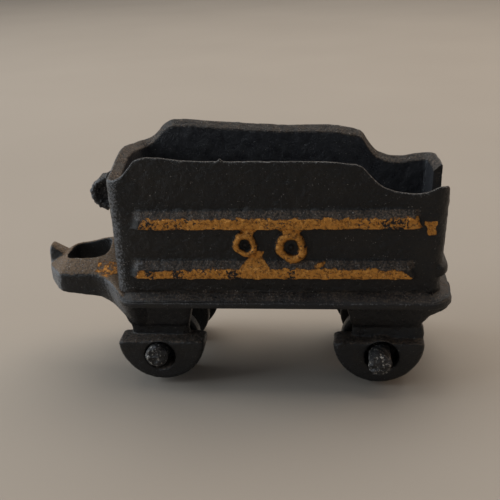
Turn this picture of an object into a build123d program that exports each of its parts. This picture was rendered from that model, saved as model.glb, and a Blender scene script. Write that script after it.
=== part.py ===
from build123d import *
import math
import os

# A small cast-iron toy coal tender. Millimetres, +Z up, +X towards the rear end,
# -Y the near side. The origin is on the ground at the centre of the outline.

# Tub: two half castings that meet on the centre plane
tub_length = 67.0
tub_width = 29.2
wall = 2.2
front_corner_radius = 4.0
rear_corner_radius = 3.5

# Top edge of a side wall: heights above the tub's foot, and places from its nearer end
front_corner_height = 24.5
front_shoulder_height = 28.9
rear_shoulder_height = 27.1
fall_end_height = 22.1
dip_height = 21.0
rear_tip_height = 22.6
front_end_crown = 2.0
low_rear_end_height = 16.6
rise_start = 1.4
front_shoulder = 8.2
rear_shoulder = 17.6
fall_end = 11.5
dip = 7.2
rear_flare = 1.0
flare_start_height = 10.4

# Ribs and ring bosses on the outer face of each side wall, measured the same way
rib_out = 1.4
rib_slope_drop = 1.9
rib_face_height = 2.1
upper_rib_height = 14.2
lower_rib_height = 3.5
upper_rib_front_gap = 5.0
upper_rib_rear_gap = 4.8
lower_rib_front_gap = 3.6
lower_rib_rear_gap = 5.8
boss_out = 1.1
large_boss_radius = 3.2
small_boss_radius = 2.5
boss_hole_radius = 1.15
boss_stud_radius = 0.55
boss_stud_recess = 0.3
large_boss_place = (36.4, 10.1)
small_boss_place = (27.1, 10.7)
stem_width = 1.8
stem_root = 0.8

# Underframe: the floor plate with its sill flange
sill_overhang = 2.4
sill_front_overhang = 0.6
sill_corner_radius = 4.4
sill_drop = 1.4
sill_face = 1.3

# Feet that hold the tub halves to the floor
foot_lug_length = 6.0
foot_lug_width = 4.0
foot_lug_height = 1.4
front_foot_lug = 21.0
rear_foot_lug = 23.5
foot_rivet_radius = 0.9
foot_rivet_head_radius = 1.6
foot_rivet_head = 0.7

# Wheels and axles
wheel_radius = 7.7
wheel_face_y = 7.9
wheel_width = 3.0
wheel_edge = 0.4
rim_depth = 1.5
web_recess = 0.5
hub_radius = 3.6
axle_radius = 2.35
front_axle_proud = 2.4
rear_axle_proud = 4.5
peen_chamfer = 0.5

# Truck frames: bolster, pedestals and journal plates
front_truck_setback = 7.2
rear_truck_setback = 12.2
journal_clearance = 0.85
journal_running_gap = 0.04
axle_shift_x = -0.4
wheel_top_clearance = 1.5
wheel_side_clearance = 0.6
plate_radius = 8.6
plate_width = 5.7
plate_edge = 0.7
ledge_metal = 0.4
pedestal_thickness = 2.5
pedestal_top_thickness = 4.1
pedestal_step_rise = 2.8
pedestal_step = 0.4
pedestal_foot_half = 6.2
pedestal_top_half = 7.5
gusset_reach = {"front": 2.0, "rear": 7.4}
gusset_edge = 1.4
bolster_thickness = 3.0
truck_rivet_radius = 1.5
truck_rivet_head_radius = 2.6
truck_rivet_head = 0.9

# Coupling yoke at the front and drawhook at the rear; heights are from the tub's foot
yoke_reach = 19.3
yoke_half_width = 8.7
yoke_nose_half = 2.2
yoke_shoulder_reach = 15.0
yoke_top_height = 4.2
yoke_outer_drop = 2.3
yoke_nose_depth = 2.4
yoke_root_depth = 5.0
eye_half_width = 5.0
eye_front = 15.0
eye_back = 5.5
eye_corner_radius = 2.5
horn_height = 1.4
horn_length = 3.0
horn_tip = 1.0
horn_half_width = 2.0
strap_thickness = 1.0
strap_half_width = 3.5
hook_reach = 3.2
hook_half_width = 1.8
hook_drop = 3.5
hook_depth = 3.2
hook_tip_rise = 1.6
hook_tip_length = 1.7
hook_edge = 1.0

# Round lug on the front end wall
lug_radius = 4.4
lug_reach = 8.3
lug_height = 17.8
lug_half_width = 2.2
lug_neck_share = 0.8
lug_dish_radius = 2.4
lug_dish_depth = 0.8

# Places that follow from the sizes above
overall_length = yoke_reach + tub_length + max(hook_reach, sill_overhang)
tub_front = yoke_reach - overall_length / 2
tub_rear = tub_front + tub_length
half_width = tub_width / 2
inner_half = half_width - wall
axle_z = wheel_radius
bolster_bottom_z = 2 * wheel_radius + wheel_top_clearance
floor_bottom_z = bolster_bottom_z + bolster_thickness
sill_edge_z = floor_bottom_z + sill_face
foot_z = sill_edge_z + sill_drop
tub_top_z = foot_z + front_shoulder_height + front_end_crown
sill_half_width = half_width + sill_overhang
journal_radius = axle_radius + journal_clearance
journal_offset = journal_clearance - journal_running_gap
journal_z = axle_z - math.sqrt(journal_offset**2 - axle_shift_x**2)
ledge_z = journal_z + journal_radius + ledge_metal
pedestal_step_z = ledge_z + pedestal_step_rise
pedestal_inner_y = wheel_face_y + wheel_side_clearance
pedestal_foot_y = pedestal_inner_y + pedestal_thickness
pedestal_top_y = pedestal_inner_y + pedestal_top_thickness
plate_front_y = pedestal_inner_y + plate_width
truck_xs = {"front": tub_front + front_truck_setback, "rear": tub_rear - rear_truck_setback}
axle_ends = {"front": plate_front_y + front_axle_proud, "rear": plate_front_y + rear_axle_proud}
foot_lug_xs = (tub_front + front_foot_lug, tub_rear - rear_foot_lug)
foot_rivet_y = inner_half - foot_lug_width / 2
yoke_top_z = foot_z + yoke_top_height
yoke_root_bottom_z = foot_z - yoke_root_depth
yoke_nose_bottom_z = foot_z - yoke_nose_depth
strap_bottom_z = floor_bottom_z - strap_thickness


def box(x0, x1, y0, y1, z0, z1):
    solid = Box(x1 - x0, y1 - y0, z1 - z0)
    return Pos((x0 + x1) / 2, (y0 + y1) / 2, (z0 + z1) / 2) * solid


def round_outline(x0, x1, half, front_radius, rear_radius, z):
    # A rectangle in plan with one radius on its front corners and another on its rear ones
    outline = Pos((x0 + x1) / 2, 0, z) * Rectangle(x1 - x0, 2 * half)
    corners = outline.vertices().sort_by(Axis.X)
    outline = fillet(corners[:2], front_radius)
    corners = outline.vertices().sort_by(Axis.X)
    rear = [corner for corner in corners if corner.X > x1 - 0.001]
    return fillet(rear, rear_radius)


def side_profile():
    # The scalloped outline of a side wall, as a face in the XZ plane
    margin = rear_flare + 1
    front_end = (tub_front - margin, foot_z + front_corner_height)
    rise_low = (tub_front + rise_start, foot_z + front_corner_height)
    rise_high = (tub_front + front_shoulder, foot_z + front_shoulder_height)
    fall_high = (tub_rear - rear_shoulder, foot_z + rear_shoulder_height)
    fall_low = (tub_rear - fall_end, foot_z + fall_end_height)
    dip_low = (tub_rear - dip, foot_z + dip_height)
    tip = (tub_rear - rear_flare, foot_z + rear_tip_height)
    rear_end = (tub_rear + margin, foot_z + rear_tip_height)
    rise_middle = ((rise_low[0] + rise_high[0]) / 2, (rise_low[1] + rise_high[1]) / 2)
    fall_middle = ((fall_high[0] + fall_low[0]) / 2, (fall_high[1] + fall_low[1]) / 2)
    top_run = (fall_high[0] - rise_high[0], fall_high[1] - rise_high[1])
    edges = [
        Line(front_end, rise_low),
        Spline([rise_low, rise_middle, rise_high], tangents=[(1, 0), top_run]),
        Line(rise_high, fall_high),
        Spline([fall_high, fall_middle, fall_low, dip_low, tip], tangents=[top_run, (1, 0)]),
        Line(tip, rear_end),
        Line(rear_end, (rear_end[0], foot_z)),
        Line((rear_end[0], foot_z), (front_end[0], foot_z)),
        Line((front_end[0], foot_z), front_end),
    ]
    return Plane.XZ * make_face(Wire(edges))


def tub_column(inset):
    # The tub's outline carried up, with the rear end leaning out above the flare line
    x0 = tub_front + inset
    x1 = tub_rear - inset
    half = half_width - inset
    front_radius = front_corner_radius - inset
    rear_radius = rear_corner_radius - inset
    flare_z = foot_z + flare_start_height
    foot = round_outline(x0, x1, half, front_radius, rear_radius, foot_z)
    middle = round_outline(x0, x1, half, front_radius, rear_radius, flare_z)
    upper = round_outline(x0, x1 + rear_flare, half, front_radius, rear_radius, tub_top_z)
    return extrude(foot, flare_start_height) + loft([middle, upper])


def front_end_space():
    # What lies under the crowned top of the front end wall
    corner_z = foot_z + front_corner_height
    corners = [(0, -half_width, foot_z), (0, half_width, foot_z)]
    tops = [(0, -half_width, corner_z), (0, half_width, corner_z)]
    crown = make_face(
        [
            Line(corners[0], corners[1]),
            Line(corners[1], tops[1]),
            ThreePointArc(tops[1], (0, 0, corner_z + front_end_crown), tops[0]),
            Line(tops[0], corners[0]),
        ]
    )
    return Pos(tub_front, 0, 0) * extrude(crown, wall, dir=(1, 0, 0))


def rib(front_gap, rear_gap, height):
    # A rib with a sloping top, a flat painted face and bevelled ends, on the near wall
    x0 = tub_front + front_gap
    x1 = tub_rear - rear_gap
    bottom_z = foot_z + height
    face_top_z = bottom_z + rib_face_height
    slope_top_z = face_top_z + rib_slope_drop
    section = make_face(
        Polyline(
            (x0, -half_width + wall / 2, bottom_z),
            (x0, -half_width - rib_out, bottom_z),
            (x0, -half_width - rib_out, face_top_z),
            (x0, -half_width, slope_top_z),
            (x0, -half_width + wall / 2, slope_top_z),
            close=True,
        )
    )
    outline = make_face(
        Polyline(
            (x0, -inner_half, 0),
            (x0, -half_width, 0),
            (x0 + rib_out, -half_width - rib_out, 0),
            (x1 - rib_out, -half_width - rib_out, 0),
            (x1, -half_width, 0),
            (x1, -inner_half, 0),
            close=True,
        )
    )
    return extrude(section, x1 - x0, dir=(1, 0, 0)) & extrude(outline, slope_top_z, dir=(0, 0, 1))


def ring_boss(place, radius):
    # A ring with a small stud in its centre and a stem up to the upper rib
    x = tub_front + place[0]
    z = foot_z + place[1]
    depth = boss_out + wall / 2
    low = (Align.CENTER, Align.CENTER, Align.MIN)
    ring = Cylinder(radius, depth, align=low)
    hole = Pos(0, 0, wall / 2) * Cylinder(boss_hole_radius, 2 * boss_out, align=low)
    stud = Cylinder(boss_stud_radius, depth - boss_stud_recess, align=low)
    stem = box(
        x - stem_width / 2,
        x + stem_width / 2,
        -half_width - boss_out,
        -half_width + wall / 2,
        z + radius - stem_root,
        foot_z + upper_rib_height,
    )
    return Pos(x, -half_width + wall / 2, z) * Rot(90, 0, 0) * (ring - hole + stud) + stem


def foot_lug(x):
    half_length = foot_lug_length / 2
    lug_y = -inner_half + foot_lug_width
    top_z = foot_z + foot_lug_height
    lug = box(x - half_length, x + half_length, -inner_half - wall / 2, lug_y, foot_z, top_z)
    return lug - Pos(x, -foot_rivet_y, foot_z) * Cylinder(foot_rivet_radius, 4 * foot_lug_height)


def make_tub_halves():
    walls = tub_column(0) - tub_column(wall)
    shell = walls & extrude(side_profile(), half_width + 1, both=True)
    shell = shell + (walls & front_end_space())
    beside = tub_length
    near = shell & box(tub_front - beside, tub_rear + beside, -beside, 0, foot_z, tub_top_z)
    near += rib(upper_rib_front_gap, upper_rib_rear_gap, upper_rib_height)
    near += rib(lower_rib_front_gap, lower_rib_rear_gap, lower_rib_height)
    near += ring_boss(large_boss_place, large_boss_radius)
    near += ring_boss(small_boss_place, small_boss_radius)
    for x in foot_lug_xs:
        near += foot_lug(x)
    far = mirror(near, about=Plane.XZ)
    # The rear end wall stands lower on the near half
    low_z = foot_z + low_rear_end_height
    low_y = -half_width + rear_corner_radius + 1
    end_x = tub_rear - wall - rear_flare / 2
    return near - box(end_x, tub_rear + rear_flare + 1, low_y, 1, low_z, tub_top_z), far


def make_underframe():
    sill_x0 = tub_front - sill_front_overhang
    sill_x1 = tub_rear + sill_overhang
    radius = sill_corner_radius
    edge = round_outline(sill_x0, sill_x1, sill_half_width, radius, radius, sill_edge_z)
    lower = round_outline(sill_x0, sill_x1, sill_half_width, radius, radius, floor_bottom_z)
    foot = round_outline(tub_front, tub_rear, half_width, front_corner_radius, rear_corner_radius, foot_z)
    through = 4 * (foot_z - floor_bottom_z)
    plate = extrude(lower, sill_face) + loft([edge, foot])
    for x in foot_lug_xs:
        for side in (-1, 1):
            plate -= Pos(x, side * foot_rivet_y, foot_z) * Cylinder(foot_rivet_radius, through)
    for x in truck_xs.values():
        plate -= Pos(x, 0, foot_z) * Cylinder(truck_rivet_radius, through)
    return plate


def rivet(x, y, radius, head_radius, head, low_z, high_z):
    # A shank from low_z to high_z with a domed head peened over at each end
    crown_radius = head_radius * 0.6
    rim = head * 0.3
    profile = Polyline(
        (0, low_z - head),
        (crown_radius, low_z - head),
        (head_radius, low_z - rim),
        (head_radius, low_z),
        (radius, low_z),
        (radius, high_z),
        (head_radius, high_z),
        (head_radius, high_z + rim),
        (crown_radius, high_z + head),
        (0, high_z + head),
        close=True,
    )
    return Pos(x, y, 0) * revolve(Plane.XZ * make_face(profile), Axis.Z)


def foot_rivet(x, side):
    sizes = (foot_rivet_radius, foot_rivet_head_radius, foot_rivet_head)
    return rivet(x, side * foot_rivet_y, *sizes, floor_bottom_z, foot_z + foot_lug_height)


def truck_rivet(x):
    sizes = (truck_rivet_radius, truck_rivet_head_radius, truck_rivet_head)
    return rivet(x, 0, *sizes, bolster_bottom_z, foot_z)


def pedestal(x, outward, gusset):
    # One near-side pedestal with its journal plate; outward is -1 at the front, 1 at the rear
    section = make_face(
        Polyline(
            (0, -pedestal_inner_y, floor_bottom_z),
            (0, -pedestal_top_y, floor_bottom_z),
            (0, -pedestal_foot_y - pedestal_step, pedestal_step_z),
            (0, -pedestal_foot_y, pedestal_step_z - pedestal_step),
            (0, -pedestal_foot_y, ledge_z),
            (0, -pedestal_inner_y, ledge_z),
            close=True,
        )
    )
    reach = pedestal_top_half + gusset
    block = Pos(x - reach, 0, 0) * extrude(section, 2 * reach, dir=(1, 0, 0))
    outer_foot = (x + outward * (pedestal_foot_half + 0.3), pedestal_step_z)
    outer_top = (x + outward * (pedestal_foot_half + gusset), floor_bottom_z - gusset_edge)
    inner_foot = (x - outward * pedestal_foot_half, pedestal_step_z)
    inner_top = (x - outward * pedestal_top_half, floor_bottom_z - 2 * gusset_edge)
    edges = [
        Line(inner_foot, (inner_foot[0], ledge_z)),
        Line((inner_foot[0], ledge_z), (x + outward * pedestal_foot_half, ledge_z)),
        Line((x + outward * pedestal_foot_half, ledge_z), outer_foot),
        Spline([outer_foot, outer_top], tangents=[(outward * 0.6, 1), (outward * 0.6, 1)]),
        Line(outer_top, (outer_top[0], floor_bottom_z)),
        Line((outer_top[0], floor_bottom_z), (inner_top[0], floor_bottom_z)),
        Line((inner_top[0], floor_bottom_z), inner_top),
        Line(inner_top, inner_foot),
    ]
    elevation = Plane.XZ * make_face(Wire(edges))
    block = block & extrude(elevation, pedestal_top_y + 1, both=True)
    disc = Pos(x, -(pedestal_inner_y + plate_front_y) / 2, ledge_z) * Rot(90, 0, 0)
    disc = disc * Cylinder(plate_radius, plate_front_y - pedestal_inner_y)
    beside = 2 * plate_radius
    lower_half = box(x - beside, x + beside, -plate_front_y - 1, 0, ledge_z - beside, ledge_z)
    plate = disc & lower_half
    front_edges = plate.faces().sort_by(Axis.Y)[0].edges()
    plate = chamfer(front_edges, plate_edge)
    hole = Pos(x, -plate_front_y, journal_z) * Rot(90, 0, 0) * Cylinder(journal_radius, 4 * plate_radius)
    return block + plate - hole


def make_truck_frame(place):
    x = truck_xs[place]
    outward = -1 if place == "front" else 1
    near = pedestal(x, outward, gusset_reach[place])
    half = pedestal_top_half
    bolster = box(x - half, x + half, -pedestal_top_y, pedestal_top_y, bolster_bottom_z, floor_bottom_z)
    groove = box(x - half, x + half, -strap_half_width, strap_half_width, strap_bottom_z, floor_bottom_z)
    frame = near + mirror(near, about=Plane.XZ) + bolster - groove
    return frame - Pos(x, 0, floor_bottom_z) * Cylinder(truck_rivet_radius, 4 * bolster_thickness)


def strap(x, outward, reach_x):
    # A flat tail that lies between the bolster and the floor, held by the truck rivet
    ends = sorted((x - outward * pedestal_top_half, reach_x))
    tail = box(ends[0], ends[1], -strap_half_width, strap_half_width, strap_bottom_z, floor_bottom_z)
    return tail - Pos(x, 0, floor_bottom_z) * Cylinder(truck_rivet_radius, 4 * strap_thickness)


def make_yoke(underframe, truck):
    nose = tub_front - yoke_reach
    shoulder = tub_front - yoke_shoulder_reach
    plan = make_face(
        Polyline(
            (tub_front, -yoke_half_width),
            (shoulder, -yoke_half_width),
            (nose, -yoke_nose_half),
            (nose, yoke_nose_half),
            (shoulder, yoke_half_width),
            (tub_front, yoke_half_width),
            close=True,
        )
    )
    blank = Pos(0, 0, yoke_root_bottom_z) * extrude(plan, yoke_top_z - yoke_root_bottom_z)
    section = make_face(
        Polyline(
            (nose, -yoke_half_width, yoke_root_bottom_z),
            (nose, -yoke_half_width, yoke_top_z - yoke_outer_drop),
            (nose, -eye_half_width, yoke_top_z),
            (nose, eye_half_width, yoke_top_z),
            (nose, yoke_half_width, yoke_top_z - yoke_outer_drop),
            (nose, yoke_half_width, yoke_root_bottom_z),
            close=True,
        )
    )
    blank = blank & extrude(section, yoke_reach, dir=(1, 0, 0))
    under = make_face(
        Polyline(
            (nose - 1, 0, yoke_root_bottom_z - 1),
            (nose - 1, 0, yoke_nose_bottom_z + 1),
            (nose, 0, yoke_nose_bottom_z),
            (tub_front, 0, yoke_root_bottom_z),
            (tub_front, 0, yoke_root_bottom_z - 1),
            close=True,
        )
    )
    blank = blank - extrude(under, yoke_half_width + 1, both=True)
    eye_x = tub_front - (eye_front + eye_back) / 2
    eye = RectangleRounded(eye_front - eye_back, 2 * eye_half_width, eye_corner_radius)
    blank = blank - Pos(eye_x, 0, 0) * extrude(eye, 2 * yoke_top_z)
    horn = make_face(
        Polyline(
            (nose, 0, yoke_top_z - 1),
            (nose, 0, yoke_top_z + horn_height),
            (nose + horn_tip, 0, yoke_top_z + horn_height),
            (nose + horn_length, 0, yoke_top_z - 1),
            close=True,
        )
    )
    blank = blank + extrude(horn, horn_half_width, both=True)
    blank = blank + strap(truck_xs["front"], -1, tub_front)
    return blank - underframe - truck


def make_drawhook():
    tip_x = tub_rear + hook_reach
    root_x = truck_xs["rear"] + pedestal_top_half
    shank_x = root_x + hook_depth
    top_z = floor_bottom_z - hook_drop
    bottom_z = top_z - hook_depth
    hook = make_face(
        Polyline(
            (root_x, 0, floor_bottom_z),
            (root_x, 0, top_z),
            (shank_x, 0, bottom_z),
            (tip_x - hook_edge, 0, bottom_z),
            (tip_x, 0, bottom_z + hook_edge),
            (tip_x, 0, top_z + hook_tip_rise),
            (tip_x - hook_tip_length, 0, top_z + hook_tip_rise),
            (tip_x - hook_tip_length, 0, top_z),
            (shank_x, 0, top_z),
            (shank_x, 0, floor_bottom_z),
            close=True,
        )
    )
    return extrude(hook, hook_half_width, both=True) + strap(truck_xs["rear"], 1, shank_x)


def make_front_lug():
    x = tub_front - lug_reach + lug_radius
    z = foot_z + lug_height
    neck = lug_radius * lug_neck_share
    lug = Pos(x, 0, z) * Rot(90, 0, 0) * Cylinder(lug_radius, 2 * lug_half_width)
    lug += box(x, tub_front, -lug_half_width, lug_half_width, z - neck, z + neck)
    for side in (-1, 1):
        dish = Cylinder(lug_dish_radius, 2 * lug_dish_depth)
        lug -= Pos(x, side * lug_half_width, z) * Rot(90, 0, 0) * dish
    return lug - box(tub_front, tub_rear, -half_width, half_width, foot_z, tub_top_z)


def make_wheel(x, side):
    inner = wheel_face_y - wheel_width
    rim_inner = wheel_radius - rim_depth
    profile = Polyline(
        (axle_radius, inner),
        (hub_radius, inner),
        (hub_radius, inner + web_recess),
        (rim_inner, inner + web_recess),
        (rim_inner, inner),
        (wheel_radius - wheel_edge, inner),
        (wheel_radius, inner + wheel_edge),
        (wheel_radius, wheel_face_y - wheel_edge),
        (wheel_radius - wheel_edge, wheel_face_y),
        (rim_inner, wheel_face_y),
        (rim_inner, wheel_face_y - web_recess),
        (hub_radius, wheel_face_y - web_recess),
        (hub_radius, wheel_face_y),
        (axle_radius, wheel_face_y),
        close=True,
    )
    wheel = revolve(make_face(profile), Axis.Y)
    if side < 0:
        wheel = mirror(wheel, about=Plane.XZ)
    return Pos(x, 0, axle_z) * wheel


def make_axle(x, end_y):
    profile = Polyline(
        (0, -end_y),
        (axle_radius - peen_chamfer, -end_y),
        (axle_radius, -end_y + peen_chamfer),
        (axle_radius, end_y - peen_chamfer),
        (axle_radius - peen_chamfer, end_y),
        (0, end_y),
        close=True,
    )
    return Pos(x, 0, axle_z) * revolve(make_face(profile), Axis.Y)


def make_parts():
    parts = {}
    parts["tub_near_half"], parts["tub_far_half"] = make_tub_halves()
    parts["underframe"] = make_underframe()
    for place in truck_xs:
        parts[place + "_truck_frame"] = make_truck_frame(place)
        parts[place + "_truck_rivet"] = truck_rivet(truck_xs[place])
        axle_x = truck_xs[place] + axle_shift_x
        parts[place + "_axle"] = make_axle(axle_x, axle_ends[place])
        parts[place + "_near_wheel"] = make_wheel(axle_x, -1)
        parts[place + "_far_wheel"] = make_wheel(axle_x, 1)
    parts["coupling_yoke"] = make_yoke(parts["underframe"], parts["front_truck_frame"])
    parts["rear_drawhook"] = make_drawhook()
    parts["front_lug"] = make_front_lug()
    for side, word in ((-1, "near"), (1, "far")):
        rivets = [foot_rivet(x, side) for x in foot_lug_xs]
        parts[word + "_foot_rivets"] = Compound(rivets)
    return parts


os.makedirs("parts", exist_ok=True)
for name, shape in make_parts().items():
    export_step(shape, "parts/" + name + ".step")
    print(name, len(shape.solids()), round(shape.volume, 1))
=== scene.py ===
import math
import bmesh
import bpy
import numpy as np
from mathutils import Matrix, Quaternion, Vector


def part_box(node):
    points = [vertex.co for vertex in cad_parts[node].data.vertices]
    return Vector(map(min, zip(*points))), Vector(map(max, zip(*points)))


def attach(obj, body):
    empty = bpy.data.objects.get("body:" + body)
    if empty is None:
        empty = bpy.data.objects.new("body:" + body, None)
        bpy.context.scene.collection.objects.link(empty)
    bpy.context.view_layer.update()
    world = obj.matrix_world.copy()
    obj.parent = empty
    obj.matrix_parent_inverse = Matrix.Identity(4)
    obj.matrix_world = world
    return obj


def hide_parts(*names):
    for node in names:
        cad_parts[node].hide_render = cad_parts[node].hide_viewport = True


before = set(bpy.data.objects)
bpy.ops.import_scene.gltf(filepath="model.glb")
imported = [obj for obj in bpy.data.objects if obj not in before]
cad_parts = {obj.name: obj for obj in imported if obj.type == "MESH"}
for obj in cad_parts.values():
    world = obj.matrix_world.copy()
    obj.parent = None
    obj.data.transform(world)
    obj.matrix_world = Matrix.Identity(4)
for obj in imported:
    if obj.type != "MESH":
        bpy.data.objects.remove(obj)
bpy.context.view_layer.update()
print("frame loaded:", len(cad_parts), "castings, rods and rivets")


def corners(node):
    # A node's box in millimetres, as its lowest and highest corner
    low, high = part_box(node)
    return np.array(low) * 1000, np.array(high) * 1000


tubHigh = corners("tub_far_half")[1]
floorLow, floorHigh = corners("underframe")
yokeLow, yokeHigh = corners("coupling_yoke")
hookLow, hookHigh = corners("rear_drawhook")
lugLow, lugHigh = corners("front_lug")
footZ = floorHigh[2]
floorZ = floorLow[2]
tubFront = lugHigh[0]
tubRear = floorHigh[0] - 2.4


def ease(t):
    # 3t^2 - 2t^3, held at 0 and 1
    t = np.clip(t, 0.0, 1.0)
    return t * t * (3 - 2 * t)


def smoothCurve(keys, x):
    # A cubic through the keys whose slope at each key is the mean of its two runs' slopes
    kx, ky = np.array(keys, float).T
    run = np.diff(ky) / np.diff(kx)
    slope = np.concatenate([[run[0]], (run[:-1] + run[1:]) / 2, [run[-1]]])
    i = np.clip(np.searchsorted(kx, x) - 1, 0, len(kx) - 2)
    width = kx[i + 1] - kx[i]
    t = np.clip((x - kx[i]) / width, 0, 1)
    a = 2 * t**3 - 3 * t**2 + 1
    b = t**3 - 2 * t**2 + t
    c = 3 * t**2 - 2 * t**3
    d = t**3 - t**2
    return a * ky[i] + b * width * slope[i] + c * ky[i + 1] + d * width * slope[i + 1]


lattice = np.random.default_rng(11).random((32, 32, 32)) * 2 - 1


def lumps(points, size, seed=0):
    # Random numbers on a cubic lattice of the given cell size, eased between its corners
    q = points / size + seed * 7.31
    cell = np.floor(q).astype(int)
    f = ease(q - cell)
    total = np.zeros(points.shape[:-1])
    for dx in (0, 1):
        for dy in (0, 1):
            for dz in (0, 1):
                wx = f[..., 0] if dx else 1 - f[..., 0]
                wy = f[..., 1] if dy else 1 - f[..., 1]
                wz = f[..., 2] if dz else 1 - f[..., 2]
                value = lattice[(cell[..., 0] + dx) % 32, (cell[..., 1] + dy) % 32, (cell[..., 2] + dz) % 32]
                total += wx * wy * wz * value
    return total


def gridFaces(nu, nv, closeU=False, closeV=False):
    # Quads between neighbours on a grid, joined round where a direction is closed
    u = np.arange(nu if closeU else nu - 1)
    v = np.arange(nv if closeV else nv - 1)
    a, b = np.meshgrid(u, v, indexing="ij")
    c = (a + 1) % nu
    d = (b + 1) % nv
    return np.stack([a * nv + b, c * nv + b, c * nv + d, a * nv + d], -1).reshape(-1, 4)


def tubeShape(points):
    # A closed loop (second index) carried along a path (first index), with a flat end at each side
    nu, nv = points.shape[:2]
    faces = gridFaces(nu, nv, closeV=True).tolist()
    faces.append(list(range(nv))[::-1])
    faces.append([(nu - 1) * nv + k for k in range(nv)])
    return points.reshape(-1, 3), faces


def ringShape(points):
    # A loop carried round a closed path
    nu, nv = points.shape[:2]
    return points.reshape(-1, 3), gridFaces(nu, nv, True, True).tolist()


def joinShapes(shapes):
    # Several shapes as one, the later ones' faces numbered on from the earlier ones' points
    verts = []
    faces = []
    start = 0
    for points, quads in shapes:
        verts.append(points)
        faces.extend([[k + start for k in face] for face in quads])
        start += len(points)
    return np.concatenate(verts), faces


def makePiece(name, shape, body, nodes, creaseAngle=60):
    # A mesh from points in millimetres, facing outward, tied to its body and nodes
    points, faces = shape
    mesh = bpy.data.meshes.new(name)
    mesh.from_pydata((points * 0.001).tolist(), [], faces)
    work = bmesh.new()
    work.from_mesh(mesh)
    bmesh.ops.recalc_face_normals(work, faces=work.faces[:])
    work.to_mesh(mesh)
    work.free()
    mesh.polygons.foreach_set("use_smooth", [True] * len(mesh.polygons))
    mesh.set_sharp_from_angle(angle=math.radians(creaseAngle))
    piece = bpy.data.objects.new(name, mesh)
    bpy.context.scene.collection.objects.link(piece)
    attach(piece, body)
    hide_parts(*nodes)
    print("made", name, len(mesh.polygons), "faces")
    return piece


def castTogether(piece, voxel, rounds):
    # Joins overlapping shapes into one skin and rounds its inner corners, as a mould does
    remesh = piece.modifiers.new("skin", "REMESH")
    remesh.mode = "VOXEL"
    remesh.voxel_size = voxel * 0.001
    remesh.use_smooth_shade = True
    soften = piece.modifiers.new("soften", "SMOOTH")
    soften.factor = 0.5
    soften.iterations = rounds
    graph = bpy.context.evaluated_depsgraph_get()
    mesh = bpy.data.meshes.new_from_object(piece.evaluated_get(graph))
    piece.modifiers.clear()
    old = piece.data
    piece.data = mesh
    bpy.data.meshes.remove(old)
    mesh.name = piece.name
    return piece


def vertexPlaces(mesh):
    # Every vertex's place, in millimetres
    co = np.empty(len(mesh.vertices) * 3)
    mesh.vertices.foreach_get("co", co)
    return co.reshape(-1, 3) * 1000


def vertexNormals(mesh):
    # Every vertex's outward direction
    normal = np.empty(len(mesh.vertices) * 3)
    mesh.vertex_normals.foreach_get("vector", normal)
    return normal.reshape(-1, 3)


def paintPoints(mesh, name, values):
    # One number per vertex, which the finishes read
    layer = mesh.attributes.new(name, "FLOAT", "POINT")
    layer.data.foreach_set("value", np.asarray(values, np.float32))


def roughen(piece, grain, swell, inward=False):
    # Moves each point along its normal by fine grain and slow swell, as rough castings have
    mesh = piece.data
    place = vertexPlaces(mesh)
    move = grain * lumps(place, 0.55, 1) + 0.6 * grain * lumps(place, 0.3, 2) + swell * lumps(place, 4.5, 3)
    if inward:
        move = -np.abs(move)
    place += vertexNormals(mesh) * move[:, None]
    mesh.vertices.foreach_set("co", (place * 0.001).ravel())
    mesh.update()


def loftBlocks(keys, squareness=5.0, around=72, along=28):
    # keys are sections of four corner points; a rounded square, |a|^n + |b|^n = 1, is stretched
    # to each section's corners, and the corners follow a smooth curve from key to key
    keys = np.array(keys, float)
    station = np.arange(len(keys))
    t = np.linspace(0, len(keys) - 1, along)
    cornersAlong = np.empty((along, 4, 3))
    for k in range(4):
        for axis in range(3):
            cornersAlong[:, k, axis] = smoothCurve(np.stack([station, keys[:, k, axis]], 1), t)
    angle = np.linspace(0, 2 * math.pi, around, endpoint=False)
    c, s = np.cos(angle), np.sin(angle)
    radius = (np.abs(c) ** squareness + np.abs(s) ** squareness) ** (-1 / squareness)
    a = (c * radius + 1) / 2
    b = (s * radius + 1) / 2
    weight = np.stack([(1 - a) * (1 - b), a * (1 - b), a * b, (1 - a) * b], 0)
    return tubeShape(np.einsum("ukx,kv->uvx", cornersAlong, weight))


def blockBetween(x0, x1, y0, y1, z0, z1, squareness=8.0, along=8):
    # A block with rounded corners, as two rectangles joined upward
    low = [(x0, y0, z0), (x1, y0, z0), (x1, y1, z0), (x0, y1, z0)]
    high = [(x0, y0, z1), (x1, y0, z1), (x1, y1, z1), (x0, y1, z1)]
    return loftBlocks([low, high], squareness, 56, along)


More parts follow.
